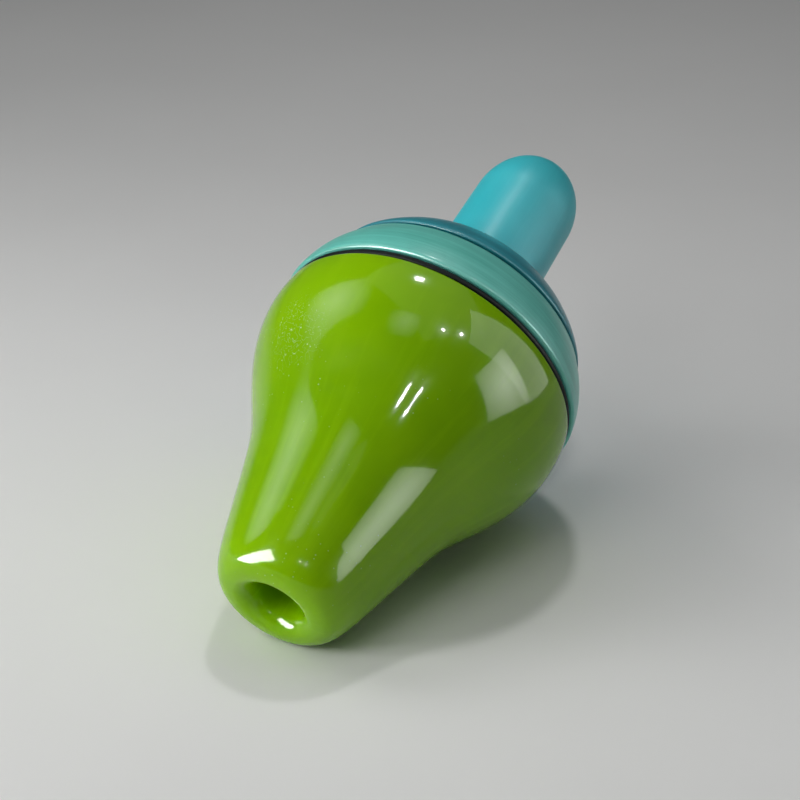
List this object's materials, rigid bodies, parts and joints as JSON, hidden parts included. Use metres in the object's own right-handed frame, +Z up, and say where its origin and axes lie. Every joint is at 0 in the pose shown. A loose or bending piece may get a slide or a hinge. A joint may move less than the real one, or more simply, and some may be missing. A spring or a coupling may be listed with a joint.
{
  "type": "pipette filler bulb",
  "caption": "Pear-shaped green rubber suction bulb with a pipette socket, a clamped teal cap and a long round-ended button that opens its spring-loaded air valve.",
  "frame": {"origin": "on the bench below the centre of the whole bulb's box, as it lies with its socket end and its belly on the bench", "axes": "+Z up from the bench; +Y along the bulb from the socket end to the button, whose axis rises 20.9 degrees above +Y; +X to the right"},
  "size_m": [0.0524, 0.0978, 0.0528],
  "materials": {
    "lime_rubber": "gloss",
    "black_rubber": "matte",
    "mint_plastic": "satin",
    "teal_plastic": "satin",
    "turquoise_plastic": "satin",
    "white_plastic": "satin",
    "steel": "satin",
    "brass": "satin"
  },
  "bodies": {
    "bulb": {"squeeze_bulb": "lime_rubber", "shoulder_gasket": "black_rubber", "collar_band": "mint_plastic", "clamp_ring": "white_plastic", "collar_screw_1": "steel", "collar_screw_2": "steel", "collar_screw_3": "steel", "collar_screw_4": "steel", "cap_gasket": "black_rubber", "cap": "teal_plastic", "spigot_o_ring": "black_rubber", "guide_bushing": "white_plastic", "valve_seat": "white_plastic", "seat_snap_ring": "steel", "spring_washer": "steel", "return_spring": "steel"},
    "valve": {"valve_button": "turquoise_plastic", "button_stop_ring": "steel", "button_insert": "brass", "spring_cup": "steel", "valve_rod": "steel", "poppet_seal": "black_rubber", "poppet": "white_plastic", "poppet_nut": "brass"}
  },
  "joints": [
    {"name": "valve_press", "type": "slide", "parent": "bulb", "child": "valve", "axis": [0, -0.9341, -0.3571], "range_m": [0, 0.004], "stiffness_N_per_m": 450, "springref_m": -0.003, "deforming": ["return_spring"]}
  ]
}
